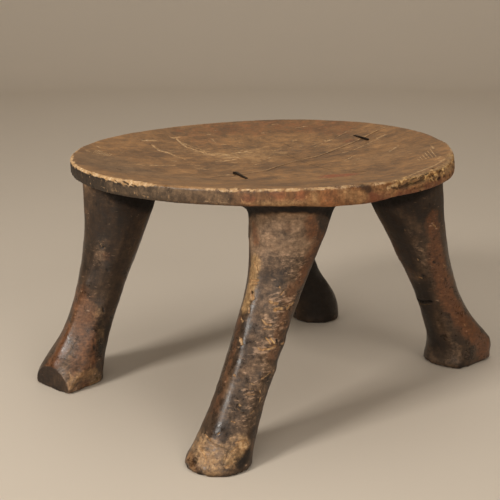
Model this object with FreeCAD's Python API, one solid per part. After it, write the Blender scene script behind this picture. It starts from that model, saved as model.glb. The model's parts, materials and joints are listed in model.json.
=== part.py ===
import FreeCAD, Part
import math
import os

# Low round stool carved from one block of wood: a dished seat on four splayed legs that are
# one piece with it. Two forged iron staples are driven in across the drying crack of the seat.
# Millimetres and degrees, +Z up, the front leg towards -Y. Places are measured from the middle
# of the seat, on the floor, until the finished pieces move so that the middle of their box is
# the origin.

# Seat
seat_height = 230.0
seat_radius = 190.0
rim_thickness = 14.5
dish_depth = 18.0
belly_drop = 20.0
rim_round = 2.5

# The seat stands up a little towards the right and the back, in degrees
seat_lean_right = 1.25
seat_lean_back = 0.6

# The plan isn't a true circle: its reach at equal turns from +X, as shares of the radius
plan_shares = (0.95, 0.983, 1.04, 1.016, 0.982, 0.996, 1.004, 0.995, 0.988, 1.004, 1.035, 1.006)
dish_edge_share = 0.98
dish_ring_shares = (1.06, 0.98, 0.85, 0.65, 0.45, 0.25, 0.05)
belly_ring_shares = (1.0, 0.85, 0.65, 0.45, 0.25, 0.05)

# Legs: the way each root lies from the seat's axis, turned from +X, how far the root's outer
# side stays within the seat's radius, its radius, and the step from root to foot
root_drop = 25.0
root_round = 6.0
sole_round = 2.5
left_root_turn = 180.0
left_root_inset = 8.0
left_root_radius = 37.0
left_foot_step = (-52.0, -31.5)
front_root_turn = -81.4
front_root_inset = 16.5
front_root_radius = 37.0
front_foot_step = (-62.5, -87.0)
right_root_turn = 0.0
right_root_inset = 12.5
right_root_radius = 36.5
right_foot_step = (65.0, 30.0)
rear_root_turn = 80.5
rear_root_inset = 20.7
rear_root_radius = 35.5
rear_foot_step = (40.0, 40.0)

# Rows of a leg, from the seat down: height as a share of the root's height, how much of the
# way from root to foot the centre has moved, and half width and half depth as shares of the
# root's radius
left_shares = (
    (1.0, -0.04, 1.07, 1.03),
    (0.9, -0.01, 1.01, 1.0),
    (0.8, 0.05, 0.92, 0.92),
    (0.7, 0.13, 0.825, 0.825),
    (0.6, 0.228, 0.75, 0.75),
    (0.5, 0.343, 0.69, 0.69),
    (0.4, 0.46, 0.653, 0.66),
    (0.3, 0.592, 0.655, 0.675),
    (0.2, 0.745, 0.705, 0.765),
    (0.1, 0.915, 0.842, 0.98),
    (0.04, 0.985, 0.886, 1.13),
    (0.0, 0.982, 0.88, 1.145),
)
front_shares = (
    (1.0, 0.0, 1.01, 1.02),
    (0.9, 0.04, 0.94, 0.94),
    (0.8, 0.105, 0.842, 0.842),
    (0.7, 0.192, 0.74, 0.74),
    (0.6, 0.297, 0.68, 0.68),
    (0.5, 0.41, 0.665, 0.665),
    (0.4, 0.529, 0.646, 0.646),
    (0.3, 0.645, 0.643, 0.643),
    (0.2, 0.766, 0.653, 0.653),
    (0.1, 0.886, 0.709, 0.709),
    (0.04, 0.97, 0.755, 0.755),
    (0.0, 1.0, 0.775, 0.76),
)
right_shares = (
    (1.0, -0.09, 1.09, 1.05),
    (0.9, -0.025, 1.04, 1.02),
    (0.8, 0.06, 0.953, 0.94),
    (0.7, 0.174, 0.845, 0.84),
    (0.6, 0.288, 0.756, 0.75),
    (0.5, 0.411, 0.688, 0.69),
    (0.4, 0.54, 0.657, 0.66),
    (0.3, 0.681, 0.673, 0.67),
    (0.2, 0.84, 0.785, 0.765),
    (0.1, 1.01, 0.95, 0.91),
    (0.04, 1.01, 0.985, 0.95),
    (0.0, 0.965, 0.95, 0.925),
)
rear_shares = (
    (1.0, 0.0, 1.02, 1.02),
    (0.9, 0.005, 0.965, 0.965),
    (0.8, 0.04, 0.89, 0.89),
    (0.7, 0.08, 0.815, 0.815),
    (0.6, 0.137, 0.745, 0.745),
    (0.5, 0.215, 0.69, 0.69),
    (0.4, 0.334, 0.66, 0.66),
    (0.3, 0.51, 0.672, 0.672),
    (0.2, 0.757, 0.755, 0.76),
    (0.1, 0.955, 0.82, 0.83),
    (0.04, 1.0, 0.8, 0.82),
    (0.0, 1.0, 0.79, 0.81),
)

# The toe of the left foot has two flat facets, which meet in a corner on the floor: that
# corner's place from the foot's centre, and for each facet its direction from there, turned
# from +X, and how far its upper side leans forwards
left_corner_right = 5.0
left_corner_front = 42.0
outer_facet_turn = 138.0
outer_facet_lean = 0.0
inner_facet_turn = 53.0
inner_facet_lean = 12.0

# The right foot has one such facet, on the outer side of its toe, through this place
right_corner_right = 4.0
right_corner_front = 28.8
right_facet_turn = 41.4
right_facet_lean = 8.0

# Staples: a flat bar with hammered ends, let into the wood, and a prong at each end. The
# place of each one's middle is in shares of the seat's radius
bar_width = 3.2
bar_thickness = 2.2
bar_let_in = 0.8
bar_end_width = 4.6
bar_end_length = 5.0
prong_length = 9.0
prong_root = 4.0
prong_tip = 1.2
front_staple_length = 37.0
front_staple_turn = -69.4
front_staple_place_shares = (-0.129, -0.296)
rear_staple_length = 32.5
rear_staple_turn = -67.4
rear_staple_place_shares = (0.546, 0.511)

full_turn = 360.0
curve_points = 12


def vector(x, y, z):
    return FreeCAD.Vector(x, y, z)


def closed_curve(centre, height, reaches):
    """Smooth closed wire through points at equal turns about a centre.

    Each point has its own reach in X and in Y.
    """
    points = []
    for index, (reach_x, reach_y) in enumerate(reaches):
        angle = math.radians(full_turn * index / len(reaches))
        x = centre[0] + reach_x * math.cos(angle)
        y = centre[1] + reach_y * math.sin(angle)
        points.append(vector(x, y, height))
    curve = Part.BSplineCurve()
    curve.interpolate(Points=points, PeriodicFlag=True)
    return Part.Wire(curve.toShape())


def seat_ring(size_share, height):
    """The seat's plan at one share of its size, at a height from the rim's plane."""
    reaches = [seat_radius * share * size_share for share in plan_shares]
    return closed_curve((0, 0), height, list(zip(reaches, reaches)))


def dish_height(size_share):
    """Height of the dish from the rim's plane, at one share of the way out."""
    return dish_depth * ((size_share / dish_edge_share) ** 2 - 1)


def belly_height(size_share):
    """Height of the underside from the rim's plane, at one share of the way out."""
    return belly_drop * (size_share ** 2 - 1) - rim_thickness


def raise_and_lean(shape):
    """Lifts a shape of the seat to its height, with the seat's slight lean."""
    shape.rotate(vector(0, 0, 0), vector(0, 1, 0), -seat_lean_right)
    shape.rotate(vector(0, 0, 0), vector(1, 0, 0), seat_lean_back)
    shape.translate(vector(0, 0, seat_height))
    return shape


def seat_blank():
    """The seat before its dish is hollowed out: an upright rim over a bellied underside."""
    rim = Part.makeLoft([seat_ring(1, -rim_thickness), seat_ring(1, 0)], True, True)
    rings = [seat_ring(share, belly_height(share)) for share in belly_ring_shares]
    return raise_and_lean(rim.fuse(Part.makeLoft(rings, True)))


def seat_hollow():
    """What is carved out of the seat: a shallow bowl that follows its plan."""
    rings = [seat_ring(share, dish_height(share)) for share in dish_ring_shares]
    return raise_and_lean(Part.makeLoft(rings, True))


def root_centre(turn, inset, root_radius):
    """Where a leg's middle line leaves the seat."""
    reach = seat_radius - inset - root_radius
    return (reach * math.cos(math.radians(turn)), reach * math.sin(math.radians(turn)))


def leg(root, foot_step, root_radius, row_shares):
    """One leg, from its flat sole to a level inside the seat."""
    root_height = seat_height - root_drop
    inside_seat = seat_height - rim_thickness / 2
    rows = [(inside_seat,) + row_shares[0][1:]]
    rows += [(root_height * row[0],) + row[1:] for row in row_shares]
    sections = []
    for height, sweep_share, width_share, depth_share in rows:
        centre = [start + step * sweep_share for start, step in zip(root, foot_step)]
        reach = (root_radius * width_share, root_radius * depth_share)
        sections.append(closed_curve(centre, height, [reach] * curve_points))
    whole = Part.makeLoft(sections, True)
    sole_edges = [edge for edge in whole.Edges if edge.BoundBox.ZMax < sole_round]
    return whole.makeFillet(sole_round, sole_edges)


def toe_corner(root, foot_step, corner_right, corner_front):
    """A corner of a toe, on the floor."""
    return (root[0] + foot_step[0] + corner_right, root[1] + foot_step[1] - corner_front)


def toe_offcut(corner, root_radius, facet_turn, facet_lean, beyond_left):
    """What is trimmed off a toe by one facet through its corner."""
    size = root_radius * 2
    start = vector(-size, 0 if beyond_left else -size, -size)
    offcut = Part.makeBox(size * 2, size, size * 2, start)
    offcut.rotate(vector(0, 0, 0), vector(1, 0, 0), facet_lean)
    offcut.rotate(vector(0, 0, 0), vector(0, 0, 1), facet_turn)
    offcut.translate(vector(corner[0], corner[1], 0))
    return offcut


def reaches_low(face):
    return face.BoundBox.ZMin < seat_height / 2


def root_edges(shape):
    """Edges where a leg's side meets the seat."""
    found = []
    for edge in shape.Edges:
        lows = [reaches_low(face) for face in shape.ancestorsOfType(edge, Part.Face)]
        if any(lows) and not all(lows):
            found.append(edge)
    return found


def rim_edges(shape):
    return [edge for edge in shape.Edges if edge.BoundBox.XLength > seat_radius]


def left_leg():
    """The left leg, whose toe is trimmed by two facets."""
    root = root_centre(left_root_turn, left_root_inset, left_root_radius)
    whole = leg(root, left_foot_step, left_root_radius, left_shares)
    corner = toe_corner(root, left_foot_step, left_corner_right, left_corner_front)
    outer = toe_offcut(corner, left_root_radius, outer_facet_turn, outer_facet_lean, True)
    inner = toe_offcut(corner, left_root_radius, inner_facet_turn, inner_facet_lean, False)
    return whole.cut([outer, inner])


def front_leg():
    root = root_centre(front_root_turn, front_root_inset, front_root_radius)
    return leg(root, front_foot_step, front_root_radius, front_shares)


def right_leg():
    """The right leg, whose toe is trimmed by one facet."""
    root = root_centre(right_root_turn, right_root_inset, right_root_radius)
    whole = leg(root, right_foot_step, right_root_radius, right_shares)
    corner = toe_corner(root, right_foot_step, right_corner_right, right_corner_front)
    return whole.cut(toe_offcut(corner, right_root_radius, right_facet_turn, right_facet_lean, False))


def rear_leg():
    root = root_centre(rear_root_turn, rear_root_inset, rear_root_radius)
    return leg(root, rear_foot_step, rear_root_radius, rear_shares)


def carved_stool(hollow):
    """Seat and legs as one block of wood, before the staples are driven in."""
    legs = [left_leg(), front_leg(), right_leg(), rear_leg()]
    wood = seat_blank().fuse(legs).cut(hollow)
    wood = wood.makeFillet(root_round, root_edges(wood))
    return wood.makeFillet(rim_round, rim_edges(wood))


def prong(direction):
    """Tapered prong under the end of a bar, its straight side outwards; direction is 1 or -1."""
    outline = [
        vector(0, 0, bar_thickness),
        vector(0, 0, -prong_length),
        vector(-direction * prong_tip, 0, -prong_length),
        vector(-direction * prong_root, 0, 0),
        vector(-direction * prong_root, 0, bar_thickness),
    ]
    face = Part.Face(Part.makePolygon(outline + outline[:1]))
    solid = face.extrude(vector(0, bar_width, 0))
    solid.translate(vector(0, -bar_width / 2, 0))
    return solid


def staple(length):
    """A staple along X about its middle, with the bar's underside at zero height."""
    corner = vector(-length / 2, -bar_width / 2, 0)
    whole = Part.makeBox(length, bar_width, bar_thickness, corner)
    for direction in (-1, 1):
        end = direction * length / 2
        start = vector(min(end, end - direction * bar_end_length), -bar_end_width / 2, 0)
        flare = Part.makeBox(bar_end_length, bar_end_width, bar_thickness, start)
        tooth = prong(direction)
        tooth.translate(vector(end, 0, 0))
        whole = whole.fuse([flare, tooth])
    return whole.removeSplitter()


def dish_point(hollow, x, y):
    """The point of the dish that lies over a place in the plan."""
    plumb_line = Part.makeLine(vector(x, y, 0), vector(x, y, seat_height))
    return vector(x, y, hollow.common(plumb_line).BoundBox.ZMin)


def driven_staple(hollow, length, turn, place):
    """A staple driven into the dish, its bar following the slope under its two ends."""
    middle = [seat_radius * share for share in place]
    step_x = math.cos(math.radians(turn)) * length / 2
    step_y = math.sin(math.radians(turn)) * length / 2
    start = dish_point(hollow, middle[0] - step_x, middle[1] - step_y)
    end = dish_point(hollow, middle[0] + step_x, middle[1] + step_y)
    along = end - start
    turned = FreeCAD.Rotation(along, vector(0, 0, 0), vector(0, 0, 1), "XZY")
    sunk = turned.multVec(vector(0, 0, -bar_let_in))
    solid = staple(length)
    solid.Placement = FreeCAD.Placement(start + along / 2 + sunk, turned)
    return solid


def build():
    """All pieces by name, with the middle of the whole stool's base at the origin."""
    hollow = seat_hollow()
    wood = carved_stool(hollow)
    front = driven_staple(hollow, front_staple_length, front_staple_turn, front_staple_place_shares)
    rear = driven_staple(hollow, rear_staple_length, rear_staple_turn, rear_staple_place_shares)
    pieces = {"carved_stool": wood.cut([front, rear]), "front_staple": front, "rear_staple": rear}
    box = wood.optimalBoundingBox(False, False)
    for solid in pieces.values():
        solid.translate(vector(-box.Center.x, -box.Center.y, -box.ZMin))
    print("moved by", -box.Center.x, -box.Center.y, -box.ZMin)
    return pieces


os.makedirs("parts", exist_ok=True)
for name, solid in build().items():
    print(name, "valid", solid.isValid(), "solids", len(solid.Solids), "volume", round(solid.Volume))
    solid.exportStep("parts/" + name + ".step")
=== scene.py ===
import json
import math

import bpy
import numpy as np
from mathutils import Matrix, Vector
from mathutils.bvhtree import BVHTree

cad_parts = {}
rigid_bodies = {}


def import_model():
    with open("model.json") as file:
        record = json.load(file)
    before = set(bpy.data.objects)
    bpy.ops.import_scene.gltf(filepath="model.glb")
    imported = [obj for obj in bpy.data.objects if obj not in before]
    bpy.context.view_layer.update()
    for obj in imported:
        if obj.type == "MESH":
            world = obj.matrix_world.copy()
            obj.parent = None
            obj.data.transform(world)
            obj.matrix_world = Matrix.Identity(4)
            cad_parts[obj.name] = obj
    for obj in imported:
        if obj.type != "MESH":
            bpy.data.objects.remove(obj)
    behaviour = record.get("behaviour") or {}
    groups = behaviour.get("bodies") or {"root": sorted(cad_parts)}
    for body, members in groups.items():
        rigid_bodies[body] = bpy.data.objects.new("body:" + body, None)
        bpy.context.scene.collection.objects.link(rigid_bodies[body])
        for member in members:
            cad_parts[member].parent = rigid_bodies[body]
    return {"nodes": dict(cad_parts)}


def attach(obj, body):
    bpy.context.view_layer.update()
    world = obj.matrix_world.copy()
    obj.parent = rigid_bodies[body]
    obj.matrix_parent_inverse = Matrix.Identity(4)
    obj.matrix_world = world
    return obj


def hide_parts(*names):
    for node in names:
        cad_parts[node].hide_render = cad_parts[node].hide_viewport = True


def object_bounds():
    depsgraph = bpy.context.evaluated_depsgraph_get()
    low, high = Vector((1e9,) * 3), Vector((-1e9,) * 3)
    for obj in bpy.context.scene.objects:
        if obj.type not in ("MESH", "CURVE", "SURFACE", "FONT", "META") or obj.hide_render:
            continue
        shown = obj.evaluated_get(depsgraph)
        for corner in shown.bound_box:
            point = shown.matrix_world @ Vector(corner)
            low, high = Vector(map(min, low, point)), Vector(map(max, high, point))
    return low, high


# The carved round stool in metres. The wood is the carved solid given a finer skin, which is then
# worn, cut, cracked and chipped by moving its points; the two staples are forged anew in place.

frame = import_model()
solid_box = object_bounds()

millimetre = 0.001

# Camera of the photograph
photo_size = 500
camera_lens = 77.25
camera_sensor = 36.0
camera_place = (-0.02232, -1.0232, 0.4013)
camera_dip = math.radians(14.69)

# Distances from the camera within which the stool stands
sight_distances = [0.7 + 0.005 * step for step in range(160)]

# Seat, as it is carved
seat_middle = Vector((-0.00692, 0.0243, 0.230))
seat_lean_right = math.radians(1.25)
seat_lean_back = math.radians(0.6)
seat_radius = 190 * millimetre
dish_depth = 18 * millimetre
dish_edge_share = 0.98

# Heights under the rim's plane between which its side gives way to the seat's underside
rim_end = (-0.03, -0.02)

# The way each foot lies from the middle of the seat, turned from +X in degrees
foot_turns = {"left": -172, "front": -95, "right": 5, "rear": 74}

# Levels at which a leg's middle line is measured, and half the height of the band looked at
leg_levels = np.arange(4, 180, 6) * millimetre
leg_band = 4 * millimetre

# The outer facet of the left toe: its corner on the floor, and the way it faces from +X
toe_corner = (-0.19892, -0.0492)
toe_facet_turn = math.radians(228)
toe_width = 36 * millimetre
toe_height = 24 * millimetre

# The eaten part of the rim, turned from +X in degrees, and how far out and how high it starts
eaten_turns = (-60, -10)
eaten_out = 0.176
eaten_up = -0.017

# Skin of the wood: the size of its faces, and how they are halved. Each halving gives the widest
# cut it follows, how far beyond it and how far from the rim's edge it goes, and whether it takes
# in the left toe and the eaten rim
voxel = 3.95 * millimetre
halvings = [
    (1000 * millimetre, 1.6 * millimetre, 3.0 * millimetre, True),
    (2.2 * millimetre, 0.7 * millimetre, 1.4 * millimetre, True),
    (0.75 * millimetre, 0.25 * millimetre, 0, False),
]
easing_share = 0.6
easing_times = 12

# The cuts' widths were read off too wide in the photograph, those of the legs' pale cuts most
cut_width_share = 0.85
pale_leg_cut_share = 0.72


# Places in the photograph

def seen_at(x, y):
    """Direction from the camera through a place in the photograph, in pixels."""
    right = (x - photo_size / 2) / photo_size * camera_sensor / camera_lens
    up = (photo_size / 2 - y) / photo_size * camera_sensor / camera_lens
    ahead = math.cos(camera_dip) + up * math.sin(camera_dip)
    rise = -math.sin(camera_dip) + up * math.cos(camera_dip)
    return Vector((right, ahead, rise)).normalized()


def on_wood(skin, x, y):
    """The point of the wood that shows at a place in the photograph, or just beside it."""
    start, ahead = Vector(camera_place), seen_at(x, y)
    found = skin.ray_cast(start, ahead)[0]
    if found is None:
        passed = [start + ahead * distance for distance in sight_distances]
        found = min((skin.find_nearest(point) for point in passed), key=lambda near: near[3])[0]
    return np.array(found)


def line_on_wood(skin, places, step=3.0):
    """The points of the wood along a line of places in the photograph."""
    points = [on_wood(skin, *places[0])]
    for (x, y), (next_x, next_y) in zip(places[:-1], places[1:]):
        parts = max(1, round(math.hypot(next_x - x, next_y - y) / step))
        for part in range(1, parts + 1):
            share = part / parts
            points.append(on_wood(skin, x + (next_x - x) * share, y + (next_y - y) * share))
    return np.array(points)


def paired(numbers):
    """Places out of the x and y numbers that a row ends with."""
    return list(zip(numbers[::2], numbers[1::2]))


# Marks on the wood. Every place is in pixels of the photograph, every size in millimetres.

# The drying crack, and its cuts: places along each, half width, depth, how bare it lays the wood,
# and how dark it is inside. The last one is the crack's pale upper side
drying_crack = [
    (139, 176.3), (174.8, 177.3), (213, 177), (225.8, 175.7), (240, 175), (267, 170.6),
    (283.5, 165.3), (299.6, 160.6), (319.6, 155.9), (330.4, 151.9), (343.7, 146.5),
    (355.8, 141.8), (363.8, 137.8), (378.6, 130.4), (390, 126.6),
]
crack_cuts = [
    (drying_crack[:6], 0.7, 1.6, 0, 0.35),
    (drying_crack[5:], 0.8, 2.2, 0, 0.75),
    ([(x, y - 1.0) for x, y in drying_crack[1:]], 0.8, 0.1, 0.62, 0),
]

# The other cuts: half width, depth, bare, dark, and the x and y of each place along them
seat_cuts = [
    (1.2, 0.4, 0.5, 0, 314.3, 146.5, 330.4, 139.8, 346.4, 131.8, 353, 129.8),
    (1.4, 0.5, 0.55, 0, 342.4, 152.5, 354.5, 149.2, 370.5, 141.8, 385.3, 134.5),
    (1.8, 0.4, 0.5, 0, 376.5, 137.8, 385.3, 134.5), (1.2, 0.4, 0.6, 0, 343.7, 160.6, 355.8, 154.6),
    (1.6, 0.3, 0.5, 0, 389.3, 151.2, 398.7, 145.2),
    (1.3, 0.5, 0.7, 0, 136.5, 164.2, 144, 165.5, 157, 165.5, 174.8, 165.1),
    (3.2, 0.9, 0.7, 0, 143.5, 140.3, 154.5, 140),
    (1.7, 0.9, 0.6, 0, 151.8, 144.4, 159.5, 150.2, 168.4, 152.7, 177.3, 156.6, 185, 159),
    (2.6, 0.6, 0.6, 0, 158, 149.4, 168.4, 152.7), (3.2, 0.9, 0.6, 0.2, 172.5, 137.6, 178.5, 137.2),
    (1.8, 0.9, 0.62, 0, 176.5, 138.6, 181, 143, 186.3, 147, 195.2, 149.5, 204.1, 152.7, 214, 155),
    (1.3, 0.5, 0.6, 0, 182, 142.4, 191, 146.4, 200, 149, 206, 152),
    (1.5, 0.4, 0.6, 0, 206.7, 134, 210.5, 134), (1.4, 0.3, 0.5, 0, 211, 138, 215.5, 142.6),
    (1.6, 0.4, 0.6, 0, 222, 144.5, 225, 144.7), (1.8, 0.3, 0.5, 0, 239, 142.5, 242.5, 142.2),
    (1.8, 0.5, 0.7, 0, 223, 154, 229.6, 155.3), (1.5, 0.5, 0.7, 0, 236, 152.7, 247.5, 150.8),
    (1.6, 0.5, 0.75, 0, 223.3, 161, 236, 159.1), (2, 0.4, 0.6, 0, 228, 157.6, 238, 157.4),
    (1.5, 0.4, 0.6, 0, 216, 161.2, 222, 160.6), (1.3, 0.3, 0.45, 0, 231, 162.6, 247, 162),
    (1.5, 0.3, 0.5, 0, 188, 164.5, 199, 165.4), (1.5, 0.3, 0.5, 0, 195, 168.6, 208, 169.2),
    (1.2, 0.3, 0.45, 0, 204, 163.6, 214, 164.4), (1.2, 0.3, 0.4, 0, 241, 169, 252, 168.2),
    (1.2, 0.4, 0.6, 0, 260, 160.2, 271, 157.4), (1.4, 0.4, 0.6, 0, 273, 150.8, 280.5, 148.8),
    (1.4, 0.3, 0.6, 0, 253, 165.4, 257, 164.2), (1.8, 0.3, 0.5, 0, 272, 124.8, 278, 124),
    (2, 0.3, 0.5, 0, 296, 127.6, 307, 126.4), (1.6, 0.3, 0.6, 0, 293, 140.8, 296, 140.2),
    (1.3, 0.3, 0.5, 0, 315, 143, 322, 141), (1.8, 0.3, 0.6, 0, 325, 140.6, 328, 140),
    (1.6, 0.3, 0.6, 0, 262, 133, 264, 133), (1.5, 0.3, 0.5, 0, 326, 174, 333, 172.6),
    (2, 0.3, 0.5, 0, 278, 178.6, 283, 178.2), (1.6, 0.5, 0.85, 0, 232.5, 177.2, 238.6, 176.7),
    (1, 0.4, 0, 0.5, 287.5, 155.2, 299.6, 159.2, 310.3, 155.9),
    (1, 0.4, 0, 0.5, 284, 143.4, 290, 146.4),
    (1, 0.3, 0, 0.5, 300.9, 161.3, 315, 166, 330.4, 169.3),
    (1.5, 0.5, 0, 0.6, 353, 172, 358, 172.5, 365, 171.6), (1, 0.5, 0.6, 0, 85.5, 150, 91, 151.5),
    (1, 0.5, 0.6, 0, 96.4, 145.7, 100.8, 148), (1.6, 0.5, 0, 0.6, 117.5, 168.6, 121, 169.8),
    (1.2, 0.3, 0.7, 0, 431.3, 145.8, 433.6, 148.4), (1.1, 0.3, 0.6, 0, 437.4, 158.6, 441.3, 156.3),
    (1.1, 0.3, 0.6, 0, 439.1, 160.2, 442, 160.8),
]

# Two combs of short cuts near the rim, each from its first cut's ends to its last one's
combs = [
    (((93.4, 152.0), (97.2, 149.5)), ((108.1, 156.1), (111.8, 153.6)), 9),
    (((417.4, 158.8), (419.4, 160.5)), ((429.9, 148.8), (436.1, 156.6)), 6),
]
comb_cut = (0.5, 0.35, 0.8, 0)

leg_cuts = [
    # left leg: nicks, a hole, spots
    (0.9, 0.7, 0.5, 0.3, 99, 243, 101.5, 246), (0.8, 0.6, 0.4, 0.4, 103, 241.6, 104.8, 244),
    (0.9, 0.7, 0, 0.8, 101.6, 248.6, 103.6, 247), (0.9, 0.5, 0.5, 0, 105, 247.6, 105.6, 248.4),
    (1.3, 0.6, 0, 0.8, 95.7, 203.4, 95.9, 206.4), (1.2, 0.5, 0, 0.7, 105.6, 223.4, 105.9, 225),
    (1.2, 0.6, 0, 0.8, 106.4, 269.6, 108.4, 270.4), (1.3, 1.2, 0, 0.9, 103.4, 308.6, 103.8, 311.6),
    (1.7, 0.6, 0, 0.8, 94.2, 346.8, 94.8, 348.4), (1.4, 0.5, 0, 0.7, 93.5, 339.4, 93.9, 340.4),
    (0.8, 0.5, 0.7, 0, 90.6, 364.4, 91.2, 367.4), (1.6, 0.3, 0.45, 0, 69, 372, 71.6, 379.4),
    # front leg: worm track and chips down its left side
    (1.1, 0.6, 0.9, 0, 254.4, 262, 257.4, 268, 258.6, 272),
    (1.1, 1, 0.2, 0.6, 257.4, 266, 258.8, 270.4), (1.6, 0.6, 1, 0, 251.6, 280.6, 259, 280.8),
    (1.4, 0.5, 0.9, 0, 250.6, 284, 258, 284), (2.4, 0.8, 1, 0, 252, 290, 253, 295.6, 253.4, 298.6),
    (1.2, 1.9, 0, 1, 252.4, 291.8, 253.6, 292.6), (1.1, 0.5, 0.8, 0, 250.4, 308.4, 250.2, 313),
    (1.3, 0.5, 0.7, 0.2, 241.6, 318, 244, 322), (2.3, 0.7, 0.95, 0, 241.8, 340, 242.6, 344),
    # front leg: flakes and scratches at the middle
    (2.6, 0.5, 0.7, 0, 270, 301.6, 277, 303.6), (2.2, 0.5, 0.85, 0, 275, 310, 282, 308.6),
    (1.5, 0.5, 0.9, 0, 287, 308.6, 293, 302.4), (1.4, 0.4, 0.6, 0.2, 283, 307, 288, 305),
    (0.9, 0.5, 0.8, 0, 285, 290, 281, 295), (1.2, 0.4, 0.8, 0, 279.6, 287, 280, 288),
    (1.6, 0.4, 0.75, 0, 262, 320, 266, 324, 271.6, 325), (1.3, 0.4, 0.7, 0, 264, 328.6, 272, 329.4),
    (1.3, 0.4, 0.5, 0.2, 280, 324, 286, 323),
    (0.9, 0.5, 0.9, 0, 265.6, 337.4, 269, 341, 270.4, 344),
    (1.1, 0.6, 1, 0, 270.4, 338, 274.4, 343), (1.6, 0.7, 0, 1, 277, 340, 277.4, 342.4),
    (1.7, 0.4, 0.8, 0, 281, 344, 284, 343.4), (1.4, 0.4, 0.8, 0, 258, 348, 262.6, 350.4),
    (1.8, 0.5, 0.7, 0, 264, 349.6, 271, 349, 276, 345.6),
    (1, 0.4, 0.7, 0, 262, 378.8, 266.6, 376, 271, 372.4), (0.9, 0.4, 0.5, 0, 272, 376, 276, 368.6),
    (1, 0.3, 0.45, 0, 246.6, 383, 254, 384.4), (2.1, 0.4, 0.55, 0, 247, 394, 254, 394.6),
    (1.2, 0.3, 0.5, 0, 250, 389.4, 256, 390), (1.3, 0.4, 1, 0, 260.4, 391, 260.8, 393),
    (1, 0.4, 0.8, 0, 260.6, 398, 260, 401.6), (1.3, 0.4, 1, 0, 239.4, 404.6, 240, 405.6),
    (0.9, 0.4, 0.9, 0, 231.4, 421.4, 235.2, 422.6), (1.2, 0.3, 0.9, 0, 234.6, 375.6, 236, 376.4),
    (1.4, 0.3, 0.5, 0, 238, 409, 239.4, 410), (1.5, 0.3, 0.5, 0, 251, 414, 254, 411),
    (1.2, 0.3, 0.8, 0, 218.4, 435, 220, 433.4),
    # front leg: crack and dents of the worn foot
    (0.8, 0.6, 0, 0.3, 208, 437, 213, 444, 218.8, 446, 229, 450),
    (0.8, 0.6, 0, 0.3, 229, 450, 226.6, 457, 224, 464),
    (1, 0.5, 0.9, 0, 235, 443, 246, 440, 249, 444),
    (1.1, 0.5, 0.9, 0.1, 231, 452, 238, 447, 246, 446.6), (1.6, 0.5, 0.9, 0, 226, 468, 232, 463),
    (1.6, 0.5, 0.8, 0, 199, 446, 203, 452, 206, 459), (1.2, 0.4, 0.7, 0, 205, 434, 210, 440),
    # right leg: knot, hole, deep notch with its pale lower lip
    (1.9, 1.1, 0, 0.5, 396.6, 253.6, 397.6, 257), (1.7, 1.3, 0, 1, 422.6, 275.2, 423.4, 276),
    (1, 0.2, 0.9, 0, 419.4, 277.2, 422, 278), (1.2, 0.3, 0.8, 0, 417.6, 259, 418.6, 260.6),
    (1.5, 0.3, 0.7, 0, 433.6, 224.6, 436.4, 227.4), (1.2, 0.3, 0.6, 0, 404.6, 229.6, 405.4, 231),
    (1.5, 1, 0, 0.8, 433.4, 262, 435.2, 262.4), (1.3, 0.4, 0.7, 0, 443.4, 264, 445.4, 266.4),
    (1.6, 0.5, 0, 0.7, 429.6, 203.6, 430.2, 206), (1.3, 0.4, 0, 0.7, 445, 278, 446, 281),
    (1.7, 2.4, 0, 1, 417.4, 299.4, 421, 301, 426, 301.6, 431.6, 301.4),
    (0.9, -0.5, 0.7, 0, 419, 303.6, 425, 304.4, 431, 303.8),
    (1.3, 0.3, 0.8, 0, 465, 324.8, 466.4, 326.4),
]

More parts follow.
